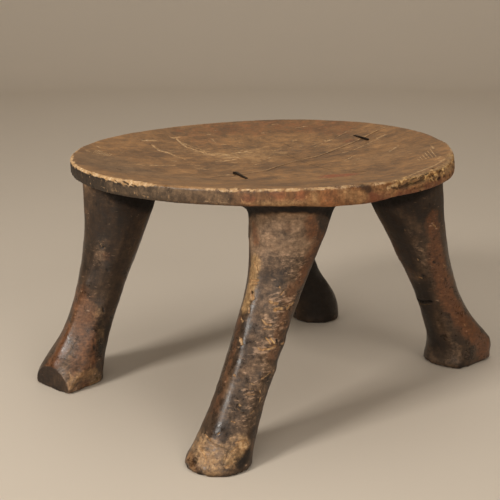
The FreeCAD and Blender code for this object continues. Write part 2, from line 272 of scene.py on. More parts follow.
# The eaten part of the rim: pale ridges, hollows and holes, and torn wood between
rim_cuts = [
    (1.5, -0.2, 0.6, 0, 374, 184.6, 388, 181.6, 400, 178.4),
    (1.5, -0.2, 0.7, 0, 404, 177, 414, 173.6, 424, 169.8, 436, 164.6, 445, 158.6),
    (2.2, 0.2, 0.7, 0, 388, 187.4, 397, 184.4, 404, 182),
    (3, 0.3, 0.9, 0, 426, 177.4, 436, 173.4, 445, 168), (1.8, 0.3, 0.6, 0, 430, 181.6, 438, 178.6),
    (2, 2, 0, 0.66, 401, 188, 408, 186, 416, 183.6, 425, 180),
    (1.1, 1.1, 0, 0.5, 411, 190.6, 421, 187.8, 430, 184.4),
    (0.9, 0.5, 0, 0.35, 371, 190, 378, 192.6, 390, 194.6),
    (0.8, 0.4, 0, 0.35, 377, 189, 386, 191.4), (1.2, 1, 0, 0.7, 392, 187.6, 398, 189.4),
    (1.5, 1.6, 0, 0.9, 431, 168.6, 435, 167.2), (1.6, 1.6, 0, 0.9, 438.6, 179.2, 441.4, 177.8),
    (1.2, 1, 0, 0.7, 446, 170.6, 447.4, 166), (1.2, 1.2, 0, 0.8, 413.4, 178.6, 418, 177.4),
    (1, 0.9, 0, 0.6, 395, 182, 397, 181.4), (1.1, 1, 0, 0.7, 400, 186, 402, 185.2),
    (1.1, 1.1, 0, 0.75, 408, 184.4, 410, 183.6), (1.2, 1.4, 0, 0.85, 419, 176.6, 421.4, 175.6),
    (1.3, 1.5, 0, 0.9, 426, 173, 428.4, 171.8), (1, 1, 0, 0.8, 434, 176, 435.6, 175.2),
    (1.4, 1.5, 0, 0.9, 441, 171.6, 442.8, 170.2), (1, 1, 0, 0.7, 444, 177, 446, 175.6),
    # nicks along the front and left of the rim
    (0.8, 0.4, 0.9, 0, 233, 191.6, 235.4, 189, 238, 187),
    (0.8, 0.4, 0.8, 0, 235.4, 189, 234.6, 186.6), (1.5, 0.6, 0.9, 0, 93.6, 172, 94.4, 175.4),
    (2, 0.2, 0.3, 0, 80.6, 169, 81, 178), (0.8, 0.3, 0.6, 0, 89, 176, 89.4, 177),
    (1, 0.4, 0.8, 0, 90, 183, 90.4, 184), (0.6, 0.3, 0.3, 0, 101, 186.4, 106, 188.4),
    (0.6, 0.3, 0.3, 0, 112, 190, 118, 191.6), (0.7, 0.3, 0.45, 0, 143, 196, 148, 196.8),
    (0.6, 0.2, 0.4, 0, 203, 201, 213, 201.8), (0.6, 0.2, 0.4, 0, 219, 202.2, 228, 202.6),
    (0.7, 0.2, 0.3, 0, 218, 190, 218.6, 196), (1, 0.8, 0, 0.9, 123, 181.6, 128, 184.4),
    (0.8, 0.6, 0, 0.8, 114.6, 180.6, 118, 183), (0.8, 0.6, 0, 0.7, 131, 184.6, 135, 186),
    (0.8, 0.5, 0, 0.6, 88, 172.6, 92, 176),
]

# How the rim's upper edge is rubbed pale: a place on it, how wide the bare band is, and how bare.
# Along the front the pale band is partly a painted highlight on the rounded edge
edge_wear_and_highlight = [
    (71.5, 152, 1.7, 0.9), (74, 160, 1.6, 1), (79, 164, 1, 1), (93, 171.6, 1.5, 1),
    (99, 174, 0.9, 1), (110, 176.6, 1.1, 1), (119, 178.6, 2, 1), (126, 180, 3.2, 1),
    (134, 181.6, 2.6, 1), (140, 182.6, 1.2, 0.95), (154, 184.6, 0.9, 0.5), (160, 185, 0.6, 0.2),
    (180, 186.4, 0.5, 0.12), (198, 187.4, 0.6, 0.25), (206, 188, 1.2, 0.85), (216, 188.4, 0.8, 0.6),
    (232, 189, 1.4, 0.95), (250, 189.4, 1.2, 0.9), (257, 189.6, 0.8, 0.6), (264, 189.6, 1.1, 0.95),
    # these front places are partly wear and partly a painted highlight on the rim's front edge
    (300, 189, 0.9, 0.7), (330, 188.6, 0.9, 0.75), (346, 187.6, 0.7, 0.5), (360, 186.4, 0.7, 0.4),
    (449, 165, 1.3, 0.7), (454, 156, 1, 0.7),
]

# The same where the photograph doesn't show it: the turn from +X in degrees, width and bareness
hidden_edge_wear = [
    (12, 1.0, 0.6), (40, 0.8, 0.45), (75, 0.6, 0.35), (110, 0.8, 0.4), (140, 0.7, 0.25),
    (162, 0.8, 0.4), (174, 1.3, 0.8),
]

# How warm the rim's side is, at turns from +X in degrees
side_warmth = [
    (-180, 0.1), (-160, 0.06), (-138, 0.2), (-118, 0.5), (-100, 0.6), (-80, 0.9), (-30, 1.0),
    (0, 0.8), (40, 0.5), (100, 0.35), (150, 0.25),
]

# Ridges left by the adze, which catch the light, and the hollows beside them: height, width, places
adze_ridges = [
    (2, 8.5, 262, 262, 253, 300, 246, 330, 242, 350, 238, 365, 231, 388, 224, 408, 217, 430),
    (-0.9, 10, 275, 262, 267, 300, 262, 330, 258, 350, 253, 368, 246, 390, 239, 410),
    (1.7, 5, 86, 285, 80, 300, 75.5, 315, 69.5, 330, 63.5, 343, 58, 353, 54.5, 361),
    (-1.6, 9, 99, 295, 93, 315, 84, 332, 78, 345, 73, 356),
]

# The rim's lower edge hangs lowest here, and the front leg's fuller band under the seat ends here
lowest_rim_place = (350, 201.5)
collar_end_place = (275, 247)

# Painted shadow: close under the rim the legs are painted nearly black down to these lines, where
# the rim's shadow ends
root_shade = {
    "left": [(95, 187.4), (106, 196), (117, 204), (132, 210), (149, 213)],
    "front": [
        (247.4, 221), (250, 217.6), (255, 215), (262, 213.6), (290, 212.5), (316, 213.6),
        (324, 215.6), (330, 219),
    ],
    "right": [(372, 209), (389, 210.4), (405, 206), (420, 199.4), (433, 190.6), (442, 184)],
}

# Patches of colour: radius, how much of each finish, and the places along it
patches = [
    # seat
    (40, {"dusty": 0.55, "grime": 0.08}, 100, 158, 120, 168),
    (26, {"dusty": 0.45}, 150, 175, 200, 180), (42, {"ruddy": 0.25}, 205, 139),
    (34, {"ruddy": 0.36, "grime": 0.25}, 215, 129, 340, 127), (45, {"ochre": 0.4}, 250, 155),
    (22, {"ochre": 0.25}, 205, 152, 245, 158), (9, {"ruddy": 0.5, "grime": 0.2}, 178, 130),
    (12, {"dusty": 0.35}, 216, 140), (15, {"ruddy": 1}, 333, 176.2, 346, 175.4),
    (4, {"grime": 0.35}, 350, 172, 361, 171.6), (6, {"grime": 0.35}, 206.7, 173.8),
    (15, {"grime": 0.26}, 285, 156, 312, 164), (12, {"grime": 0.22}, 240, 171.6),
    (8, {"ruddy": 0.5, "grime": 0.2}, 349, 141), (12, {"grime": 0.2}, 345, 131, 372, 128),
    (8, {"grime": 0.15}, 186, 152), (40, {"dusty": 0.35}, 380, 158, 410, 150),
    (24, {"grime": 0.1}, 420, 142), (16, {"ruddy": 0.3}, 430, 135),
    (17, {"scuffed": 1}, 205, 152, 228, 157, 246, 153), (13, {"scuffed": 0.5}, 165, 151, 195, 150),
    (24, {"scuffed": 0.4}, 250, 147, 300, 145), (16, {"scuffed": 0.55}, 262, 160, 280, 154),
    (18, {"scuffed": 0.45}, 330, 147, 372, 145), (16, {"scuffed": 0.4}, 200, 168, 250, 168),
    (25, {"scuffed": 0.25}, 150, 172),
    # rim's side
    (8, {"dusty": 0.3}, 110, 186, 160, 190), (9, {"dusty": 0.45}, 172, 192, 222, 197),
    (3.4, {"grime": 0.6}, 231.4, 199.4), (8, {"ruddy": 0.7}, 250, 202),
    (6, {"ruddy": 0.55}, 272, 193, 280, 196), (4, {"grime": 0.35}, 262, 191, 263, 192),
    (4, {"ochre": 0.7}, 245, 204, 318, 203), (5, {"ochre": 0.6}, 314, 196, 315, 203),
    (4, {"grime": 0.4}, 306, 191, 312, 191), (7, {"ruddy": 0.6}, 300, 197),
    (7, {"ruddy": 0.3}, 328, 197, 338, 195), (8, {"ochre": 0.45}, 344, 192, 364, 197),
    (5, {"grime": 0.7}, 363, 187, 368, 189), (7, {"ochre": 0.4}, 376, 189, 392, 193),
    (6, {"ruddy": 1, "grime": 0.42}, 372, 197, 392, 197.4, 420, 191.6, 441, 182.6),
    # left leg
    (19, {"grime": 0.58}, 98, 200, 97, 232), (10, {"grime": 0.15}, 90, 245, 88, 275),
    (8, {"dusty": 0.35}, 101, 241, 99, 261), (7, {"ruddy": 0.4}, 108, 257),
    # painted shade: the first patch below darkens the left leg's inner side, where the seat shades
    # it
    (16, {"grime": 0.5}, 128, 212, 118, 260, 110, 300), (9, {"grime": 0.35}, 98, 276, 100, 300),
    (17, {"ruddy": 0.7}, 80, 300, 82, 325, 86, 350, 82, 370),
    (11, {"ruddy": 0.85}, 66, 330, 60, 350, 52, 364),
    (15, {"dusty": 0.55}, 84, 310, 80, 345, 76, 370), (8, {"ochre": 0.25}, 100, 314, 101, 345),
    (7, {"ochre": 0.45, "ruddy": 0.4}, 72, 384, 80, 377, 94, 374),
    (4, {"ochre": 0.3, "ruddy": 0.5}, 66, 386, 84, 388), (6, {"grime": 0.4}, 89, 352),
    (6, {"grime": 0.45}, 103, 362, 103, 380), (6, {"grime": 0.5}, 109, 325, 106, 352),
    (8, {"scuffed": 0.3}, 100, 245, 96, 258),
    # front leg
    (15, {"dusty": 0.95}, 255, 228, 280, 222, 306, 224),
    (12, {"dusty": 1}, 256, 246, 282, 246, 308, 245), (8, {"ruddy": 0.95}, 311, 222, 312, 232),
    (6, {"ruddy": 0.8}, 254, 226, 256, 241), (8, {"ruddy": 0.75}, 320, 238, 312, 256, 302, 280),
    (4, {"grime": 0.45, "ruddy": 0.4}, 288, 226, 285, 232), (4, {"grime": 0.45}, 274, 233),
    (4, {"grime": 0.45}, 299, 236, 304, 232), (8, {"ochre": 1}, 255, 262, 252, 285, 246, 306),
    (12, {"dusty": 0.5}, 262, 260, 285, 258, 304, 258), (12, {"dusty": 0.25}, 262, 274, 280, 270),
    (6, {"ruddy": 0.45}, 240, 318, 229, 365, 215, 410),
    (22, {"dusty": 0.4}, 282, 280, 268, 330, 254, 380, 242, 415),
    (12, {"grime": 0.1}, 285, 266, 278, 285), (9, {"ruddy": 0.5}, 292, 290, 284, 325, 274, 355),
    (9, {"scuffed": 0.6}, 285, 258, 300, 262, 296, 275), (10, {"scuffed": 0.9}, 277, 303, 290, 300),
    (9, {"scuffed": 0.8}, 268, 325, 280, 326), (10, {"scuffed": 0.9}, 262, 350, 274, 342),
    (11, {"scuffed": 0.6}, 268, 374), (12, {"scuffed": 0.6}, 250, 388, 250, 402),
    (9, {"scuffed": 0.5}, 262, 402), (12, {"scuffed": 0.4}, 246, 412),
    (14, {"scuffed": 0.5}, 205, 450), (10, {"wormy": 0.5}, 276, 312),
    (10, {"wormy": 0.5}, 270, 344), (5, {"wormy": 0.8}, 249, 268, 245, 300),
    (9, {"grime": 0.3}, 256, 405, 250, 430),
    (12, {"ochre": 0.55, "dusty": 0.8, "bare": 0.35}, 196, 440, 203, 456, 214, 468),
    (6, {"ochre": 0.5, "dusty": 0.6}, 235, 441, 246, 442),
    (7, {"ochre": 0.35, "dusty": 0.7, "bare": 0.25}, 203, 441, 214, 448, 228, 449),
    (7, {"ruddy": 0.8, "ochre": 0.5}, 189, 456, 193, 469), (8, {"ochre": 0.7}, 228, 460, 238, 452),
    (8, {"bare": 0.62}, 243, 449), (12, {"bare": 0.5}, 211, 463), (8, {"bare": 0.42}, 204, 445),
    (8, {"dusty": 0.9}, 219, 452), (9, {"bare": 0.45}, 232, 458),
    (4.5, {"grime": 0.85}, 240, 465, 249, 453), (4, {"grime": 0.4}, 229, 463),
    # rear leg: darkened all over, partly darker wood and partly painted shade under the seat
    (34, {"grime": 0.85}, 312, 275, 325, 305),
    # right leg: the first two patches are painted shade on its top, which the seat shades
    (15, {"grime": 0.68}, 380, 206, 396, 230, 408, 262), (14, {"grime": 0.5}, 408, 205, 424, 212),
    (10, {"ruddy": 1}, 433, 220, 437, 245, 437, 262),
    (12, {"ruddy": 1}, 438, 262, 445, 285, 453, 305),
    (13, {"ruddy": 1}, 456, 308, 467, 324, 480, 338, 486, 352),
    (9, {"dusty": 0.35}, 417, 248, 420, 264), (8, {"dusty": 0.3}, 408, 232),
    # the first patch below darkens the right leg's left side: partly darker wood, partly painted
    # shade
    (13, {"grime": 0.7}, 422, 290, 430, 330, 440, 352), (8, {"grime": 0.4}, 436, 361, 454, 367),
    (6, {"dusty": 0.35}, 450, 336, 462, 360), (4, {"grime": 0.35}, 435, 261),
    (5, {"scuffed": 0.7}, 432, 226, 436, 229), (8, {"scuffed": 0.35}, 421, 262, 437, 263),
    (9, {"scuffed": 0.25}, 413, 250),
]


# Shaping

def only(piece):
    """Leaves this piece alone selected and active."""
    for other in bpy.context.view_layer.objects:
        other.select_set(other == piece)
    bpy.context.view_layer.objects.active = piece


def added(name, data):
    """A new object in the scene."""
    item = bpy.data.objects.new(name, data)
    bpy.context.collection.objects.link(item)
    return item


def changed(piece, kind, **settings):
    """Puts a piece through a modifier."""
    modifier = piece.modifiers.new(kind.lower(), kind)
    for name, value in settings.items():
        setattr(modifier, name, value)
    only(piece)
    bpy.ops.object.modifier_apply(modifier=modifier.name)


def edit(piece, step, chosen=None):
    """Takes a step in edit mode on the chosen faces of a piece, or on all of them."""
    if chosen is None:
        chosen = np.ones(len(piece.data.polygons), bool)
    only(piece)
    bpy.ops.object.mode_set(mode="EDIT")
    bpy.ops.mesh.select_mode(type="FACE")
    bpy.ops.mesh.select_all(action="DESELECT")
    bpy.ops.object.mode_set(mode="OBJECT")
    piece.data.polygons.foreach_set("select", chosen)
    bpy.ops.object.mode_set(mode="EDIT")
    step()
    bpy.ops.object.mode_set(mode="OBJECT")


def read(items, name, width=1, kind=float):
    """One property of a mesh's points, edges, faces or corners."""
    values = np.empty(len(items) * width, kind)
    items.foreach_get(name, values)
    return values.reshape(-1, width) if width > 1 else values


def points_of(piece):
    return read(piece.data.vertices, "co", 3)


def move_points(piece, points):
    piece.data.vertices.foreach_set("co", points.ravel())
    piece.data.update()


def smooth_step(values, start, end):
    """0 before start, 1 after end, and a soft rise between them."""
    share = np.clip((values - start) / (end - start), 0, 1)
    return share * share * (3 - 2 * share)


def lumps(points, size, seed):
    """Soft lumps between -1 and 1, of about this size in metres, the same for every run."""
    count = 64
    heights = np.random.RandomState(seed).uniform(-1, 1, (count,) * 3)
    place = points / size
    cell = np.floor(place).astype(int)
    share = place - cell
    share = share * share * (3 - 2 * share)
    total = np.zeros(len(points))
    for corner in np.ndindex(2, 2, 2):
        weight = np.prod(np.where(np.array(corner) == 1, share, 1 - share), axis=1)
        x, y, z = ((cell + corner) % count).T
        total += weight * heights[x, y, z]
    return total


def rough_lumps(points, size, seed):
    """Lumps with smaller ones on them."""
    return (
        lumps(points, size, seed)
        + lumps(points, size * 0.47, seed + 1) * 0.5
        + lumps(points, size * 0.21, seed + 2) * 0.25
    ) / 1.4


def eased(points, edges, share):
    """Points drawn towards the middle of their neighbours, each by its own share."""
    count = len(points)
    first, second = edges.T
    neighbours = np.bincount(edges.ravel(), minlength=count)[:, None]
    for _ in range(easing_times):
        total = np.stack([
            np.bincount(first, points[second, axis], count)
            + np.bincount(second, points[first, axis], count)
            for axis in range(3)
        ], axis=1)
        points = points + share[:, None] * (total / neighbours - points)
    return points


def gap_to_line(points, line):
    """Distance of each point from a line of points."""
    if len(line) == 1:
        return np.linalg.norm(points - line[0], axis=1)
    gap = np.full(len(points), np.inf)
    for start, end in zip(line[:-1], line[1:]):
        along = end - start
        length = max(along @ along, 1e-12)
        share = np.clip((points - start) @ along / length, 0, 1)
        gap = np.minimum(gap, np.linalg.norm(points - start - share[:, None] * along, axis=1))
    return gap


def near_line(points, line, reach):
    """Which points are in the box round a line."""
    low = line.min(axis=0) - reach
    high = line.max(axis=0) + reach
    return np.flatnonzero(np.all((points > low) & (points < high), axis=1))


def divide_faces(piece, wanted):
    """Subdivides the faces that have a wanted point."""
    corners = read(piece.data.loops, "vertex_index", kind=int)
    starts = read(piece.data.polygons, "loop_start", kind=int)
    chosen = np.logical_or.reduceat(wanted[corners], starts)
    edit(piece, lambda: bpy.ops.mesh.subdivide(number_cuts=1), chosen)


# Seat and rim

seat_turned = Matrix.Rotation(seat_lean_back, 3, "X") @ Matrix.Rotation(-seat_lean_right, 3, "Y")


def seat_places(points):
    """Places measured from the middle of the rim's plane: right, back and up."""
    return (points - np.array(seat_middle)) @ np.array(seat_turned)


def from_seat_places(places):
    return places @ np.array(seat_turned).T + np.array(seat_middle)


def round_seat(points):
    """The turn of each point round the seat's middle, how far out it is, and how far up."""
    right, back, up = seat_places(points).T
    return np.arctan2(back, right), np.hypot(right, back), up


def dish_at(share):
    """Height of the dish at a share of the way out to the rim."""
    return dish_depth * ((share / dish_edge_share) ** 2 - 1)


def turn_seen(x, y):
    """How far round the rim a place in the photograph lies, from +X in degrees."""
    start = seat_places(np.array(camera_place))
    ahead = np.array(seen_at(x, y)) @ np.array(seat_turned)
    right, back, up = start - ahead * start[2] / ahead[2]
    return math.degrees(math.atan2(back, right))


class Rim:
    """The outline of the seat, measured from the solid all round and eased into one curve."""

    outside = 300 * millimetre
    level = -7 * millimetre
    eased_over = 24

    def __init__(self, skin):
        self.turns = np.linspace(-math.pi, math.pi, 720, endpoint=False)
        end = Vector(from_seat_places(np.array([0, 0, self.level])))
        found = []
        for turn in self.turns:
            start = self.outside * np.array([math.cos(turn), math.sin(turn), 0])
            start = Vector(from_seat_places(start + np.array([0, 0, self.level])))
            found.append(self.outside - skin.ray_cast(start, end - start)[3])
        self.measured = np.array(found)
        over = self.eased_over
        spread = np.exp(-((np.arange(-over, over + 1) / 9) ** 2))
        wrapped = np.concatenate([self.measured[-over:], self.measured, self.measured[:over]])
        self.reach = np.convolve(wrapped, spread / spread.sum(), "valid")

    def at(self, turns, reaches):
        return np.interp(turns, np.append(self.turns, math.pi), np.append(reaches, reaches[0]))


# Wood

def skin_of(piece):
    piece.data.update()
    return BVHTree.FromObject(piece, bpy.context.evaluated_depsgraph_get())


def wood_blank():
    """A copy of the carved solid with its triangles merged."""
    mesh = frame["nodes"]["carved_stool"].data.copy()
    mesh.materials.clear()
    blank = added("carved_wood", mesh)
    edit(blank, lambda: bpy.ops.mesh.remove_doubles(threshold=0.01 * millimetre))
    return blank


def all_cuts(skin):
    """Every cut as (points along it, half width, depth, bare, dark), in metres."""
    cuts = [
        (paired(places), half * (pale_leg_cut_share if bare else 1), depth, bare, dark)
        for half, depth, bare, dark, *places in leg_cuts
    ] + crack_cuts + [(paired(row[4:]), *row[:4]) for row in seat_cuts + rim_cuts]
    for first, last, count in combs:
        for index in range(count):
            share = index / (count - 1)
            ends = [
                tuple(a + (b - a) * share for a, b in zip(start, end))
                for start, end in zip(first, last)
            ]
            cuts.append((ends, *comb_cut))
    return [
        (line_on_wood(skin, places), half * cut_width_share * millimetre, depth * millimetre,
         bare, dark)
        for places, half, depth, bare, dark in cuts
    ]


def on_toe(points):
    """The trimmed toe of the left foot."""
    right, front, height = (points - np.array([*toe_corner, 0])).T
    return (right < toe_width) & (front < toe_width) & (height < toe_height)


def on_eaten_rim(points):
    """The side of the rim at the right front, where it is eaten away."""
    turn, out, up = round_seat(points)
    degrees = np.degrees(turn)
    along = (degrees > eaten_turns[0]) & (degrees < eaten_turns[1])
    return along & (out > eaten_out) & (up > eaten_up)


def near_rim_edge(points, rim):
    """Distance of each point from the rounded upper edge of the rim, measured over its surface."""
    turn, out, up = round_seat(points)
    reach = rim.at(turn, rim.reach)
    past = np.clip(reach - out, 0, None) + np.clip(-up, 0, None)
    past = np.where((up > -0.012) & (out > reach * 0.9), past, 1.0)
    parts = 180
    place = ((turn + math.pi) / (2 * math.pi) * parts).astype(int) % parts
    crest = np.full(parts, 1.0)
    np.minimum.at(crest, place, past)
    crest = np.minimum(crest, np.minimum(np.roll(crest, 1), np.roll(crest, -1)))
    return past - crest[place]


def fine_wood(cuts, rim):
    """The blank under an even skin of small faces, smaller along the cuts, the rim and the toe."""
    piece = wood_blank()
    skin = skin_of(piece)
    changed(piece, "REMESH", mode="VOXEL", voxel_size=voxel)
    for widest, beyond, edge_band, with_worn in halvings:
        points = points_of(piece)
        wanted = near_rim_edge(points, rim) < edge_band
        if with_worn:
            wanted |= on_toe(points) | on_eaten_rim(points)
        for line, half, *_ in cuts:
            if half <= widest:
                near = near_line(points, line, half + beyond)
                wanted[near] |= gap_to_line(points[near], line) < half + beyond
        divide_faces(piece, wanted)
    edit(piece, lambda: bpy.ops.mesh.quads_convert_to_tris(
        quad_method="SHORTEST_DIAGONAL", ngon_method="BEAUTY"))
    settle(piece, skin, rim)
    return piece


def settle(piece, skin, rim):
    """Draws the skin back onto the solid, then makes its flats round again."""
    points = np.array([skin.find_nearest(Vector(point))[0] for point in points_of(piece)])
    move_points(piece, points)
    normals = read(piece.data.vertices, "normal", 3)
    edges = read(piece.data.edges, "vertices", 2, int)
    bent = 1 - np.einsum("ij,ij->i", normals[edges[:, 0]], normals[edges[:, 1]])
    sharp = np.zeros(len(points))
    for ends in edges.T:
        np.maximum.at(sharp, ends, bent)
    turn, out, up = round_seat(points)
    seat_share = out / rim.at(turn, rim.measured)
    near_rim = smooth_step(seat_share, 0.9, 0.96) * smooth_step(up, *rim_end)
    crisp = np.where(
        on_toe(points), smooth_step(sharp, 0.01, 0.03), smooth_step(sharp, 0.1, 0.25))
    points = eased(points, edges, (1 - near_rim) * (1 - crisp) * easing_share)

    # the rim is drawn out to its eased outline, and the top laid on the dish, over the slots too
    turn, out, up = round_seat(points)
    reach = rim.at(turn, rim.reach)
    stretch = reach / rim.at(turn, rim.measured)
    scale = 1 + (stretch - 1) * smooth_step(out / reach, 0.8, 0.97) * smooth_step(up, *rim_end)
    share = out * scale / reach
    dish = dish_at(share)
    over = smooth_step(normals[:, 2], 0.0, 0.4) * smooth_step(up, -0.023, -0.0205)
    within = 1 - smooth_step(share, 0.955, 0.975)
    in_slot = (np.abs(up - dish) < 0.012) & (share < 0.8) & (up > dish - 0.0115) & (up > -0.026)
    places = seat_places(points)
    places[:, :2] *= scale[:, None]
    places[:, 2] += (dish - up) * np.maximum(over, in_slot) * within
    move_points(piece, from_seat_places(places))


class Wood:
    """The finely skinned wood and the amounts of wear and colour on each of its points."""

    finishes = (
        "on_leg", "upper", "warm_side", "bare", "grime", "ruddy", "dusty", "ochre", "wormy",
        "scuffed", "sheen",
    )

    def __init__(self, piece, rim):
        self.piece = piece
        self.points = points_of(piece)
        self.normals = read(piece.data.vertices, "normal", 3)
        self.moved = np.zeros(len(self.points))
        self.amounts = {name: np.zeros(len(self.points)) for name in self.finishes}
        self.turn, self.out, self.up = round_seat(self.points)
        self.degrees = np.degrees(self.turn)
        self.reach = rim.at(self.turn, rim.reach)
        self.share = self.out / self.reach
        self.edge_gap = near_rim_edge(self.points, rim)
        self.corner_gap = np.hypot(self.out - self.reach, self.up)
        self.leg = self.nearest_leg()
        self.leg_place = self.places_on_legs()
        self.torn = rough_lumps(self.points, 2.2 * millimetre, 11)
        self.ragged = rough_lumps(self.points, 5 * millimetre, 21)
        self.patchy = rough_lumps(self.points, 16 * millimetre, 31)

    def nearest_leg(self):
        turns = np.array(list(foot_turns.values()))
        return np.abs((self.degrees[:, None] - turns + 180) % 360 - 180).argmin(axis=1)

    def on(self, name):
        """Which points are nearest to this leg."""
        return self.leg == list(foot_turns).index(name)

    def places_on_legs(self):
        """Each point's place from the middle line of its leg."""
        places = self.points.copy()
        below = self.up < -0.045
        for name in foot_turns:
            mine = self.on(name)
            middles = []
            for level in leg_levels:
                ring = self.points[mine & below & (np.abs(self.points[:, 2] - level) < leg_band)]
                middles.append((ring.min(axis=0) + ring.max(axis=0)) / 2)
            middles = np.array(middles)
            for axis in (0, 1):
                places[mine, axis] -= np.interp(places[mine, 2], leg_levels, middles[:, axis])
        return places

    def add(self, name, amount, near=slice(None)):
        """Lays this much of a finish on the points where there is less of it."""
        self.amounts[name][near] = np.maximum(self.amounts[name][near], amount)

    def rub_off(self, names, share, near=slice(None)):
        for name in names:
            self.amounts[name][near] *= 1 - share

    def cut(self, line, half, depth, bare, dark):
        """A groove along a line, its edges a little torn."""
        near = near_line(self.points, line, half * 3)
        gap = gap_to_line(self.points[near], line) / half
        gap = gap * (1 + 0.4 * self.torn[near] + 0.35 * self.ragged[near])
        self.moved[near] -= depth * (1 - smooth_step(gap, 0.1, 1.15))
        inside = 1 - smooth_step(gap, 0.35, 1.6)
        self.add("bare", bare * inside, near)
        self.add("grime", dark * inside, near)

    def patch(self, line, radius, amounts, off_top=False):
        """A patch of colour along a line, with a soft uneven edge, kept off the top if wanted."""
        near = near_line(self.points, line, radius * 1.7)
        gap = gap_to_line(self.points[near], line) / radius
        uneven = 0.25 * self.patchy[near] + 0.15 * self.ragged[near]
        inside = 1 - smooth_step(gap + uneven, 0.3, 1.3)
        if off_top:
            inside *= 1 - self.amounts["upper"][near]
        for name, amount in amounts.items():
            self.add(name, amount * inside, near)

    def ridge(self, line, height, width):
        """A soft ridge along a line, or a hollow where the height is below nothing."""
        near = near_line(self.points, line, width * 3)
        gap = gap_to_line(self.points[near], line) / width
        self.moved[near] += height * np.exp(-gap * gap)

    def window(self, start, end, soft=5):
        """1 from one turn to another, in degrees from +X and going round, with soft ends."""
        from_start = (self.degrees - start + 180) % 360 - 180
        from_end = (self.degrees - end + 180) % 360 - 180
        return smooth_step(from_start, -soft, soft) * (1 - smooth_step(from_end, -soft, soft))

    def finish(self):
        move_points(self.piece, self.points + self.normals * self.moved[:, None])
        for name, amount in self.amounts.items():
            layer = self.piece.data.attributes.new(name, "FLOAT", "POINT")
            layer.data.foreach_set("value", amount)
        layer = self.piece.data.attributes.new("leg_place", "FLOAT_VECTOR", "POINT")
        layer.data.foreach_set("vector", self.leg_place.ravel())


def mark_regions(wood):
    """Which points are on the legs, which on the seat's upper side, how warm the rim's side is."""
    wood.add("on_leg", 1 - smooth_step(wood.up + 0.003 * wood.patchy, -0.034, -0.016))
    on_top = smooth_step(wood.normals[:, 2], 0.25, 0.6) * smooth_step(wood.up, -0.024, -0.021)
    wood.add("upper", on_top)
    turns, warmth = zip(*side_warmth)
    wood.add("warm_side", np.interp(wood.degrees, turns, warmth, period=360))


def carve_surface(wood):
    """Tool marks: the wood is slightly uneven everywhere, in long shallow cuts down the legs."""
    on_leg, top = wood.amounts["on_leg"], wood.amounts["upper"]
    side = (1 - top) * (1 - on_leg)
    down_leg = wood.leg_place * np.array([1, 1, 0.22])
    for region, places, height, size, seed in (
        (on_leg, down_leg, 0.3, 9, 51),
        (on_leg, wood.points, 0.45, 26, 52),
        (top, wood.points, 0.35, 30, 53),
        (top, wood.points, 0.12, 9, 54),
        (side, wood.points, 0.3, 14, 55),
    ):
        wood.moved += region * height * lumps(places, size * millimetre, seed) * millimetre
    wood.moved += 0.07 * wood.torn * millimetre


def wear_rim(wood):
    """The rim's upper edge is rubbed pale and chipped, most at the left front and right front;
    along the front its thin pale line is partly a painted highlight.
    """
    left_front = wood.window(168, -122)
    front = wood.window(-122, -58)
    right = wood.window(-12, 12)
    back = wood.window(12, 168)
    chipped = smooth_step(wood.ragged + 0.5 * wood.patchy, -0.15, 0.6)
    kept = smooth_step(-wood.ragged - 0.4 * wood.patchy, 0.05, 0.6)
    seen = [(turn_seen(x, y), width, bare) for x, y, width, bare in edge_wear_and_highlight]
    turns, widths, bareness = np.array(sorted(seen + hidden_edge_wear)).T
    wide = np.interp(wood.degrees, turns, widths, period=360) * millimetre
    strength = np.interp(wood.degrees, turns, bareness, period=360)
    strength *= 1 - back * 0.6 * (1 - chipped)
    strength *= 1 - (front + 0.4 * left_front) * 0.75 * kept
    band = wood.edge_gap / (wide * (0.9 + 1.1 * np.clip(wood.ragged, -0.7, 1)))
    # pale band along the edge: wear, and along the front partly a painted highlight
    wood.add("bare", (1 - smooth_step(band, 0.6, 1.5)) * strength)
    dent = np.exp(-((wood.corner_gap / (3.2 * millimetre)) ** 2))
    depth = 0.25 + 0.9 * chipped * (left_front + 0.3 * front + 0.6 * right + 0.4 * back)
    wood.moved -= dent * depth * millimetre
    wood.moved += dent * 0.5 * lumps(wood.points, 34 * millimetre, 61) * millimetre
    side = smooth_step(wood.share, 0.975, 0.99) * smooth_step(wood.up, -0.02, -0.016)
    lip = np.abs((wood.edge_gap - wide) / millimetre - 1.0 - wood.ragged * 1.2)
    under_lip = (1 - smooth_step(lip, 0.2, 1.1)) * (wood.up > -0.01)
    wood.add("grime", 0.6 * left_front * side * under_lip)
    wood.add("grime", 0.3 * wood.window(150, -140) * side * (wood.up < -0.003))
    wood.add("sheen", 0.9 * (front + 0.3 * left_front) * (wood.corner_gap < 3 * millimetre))


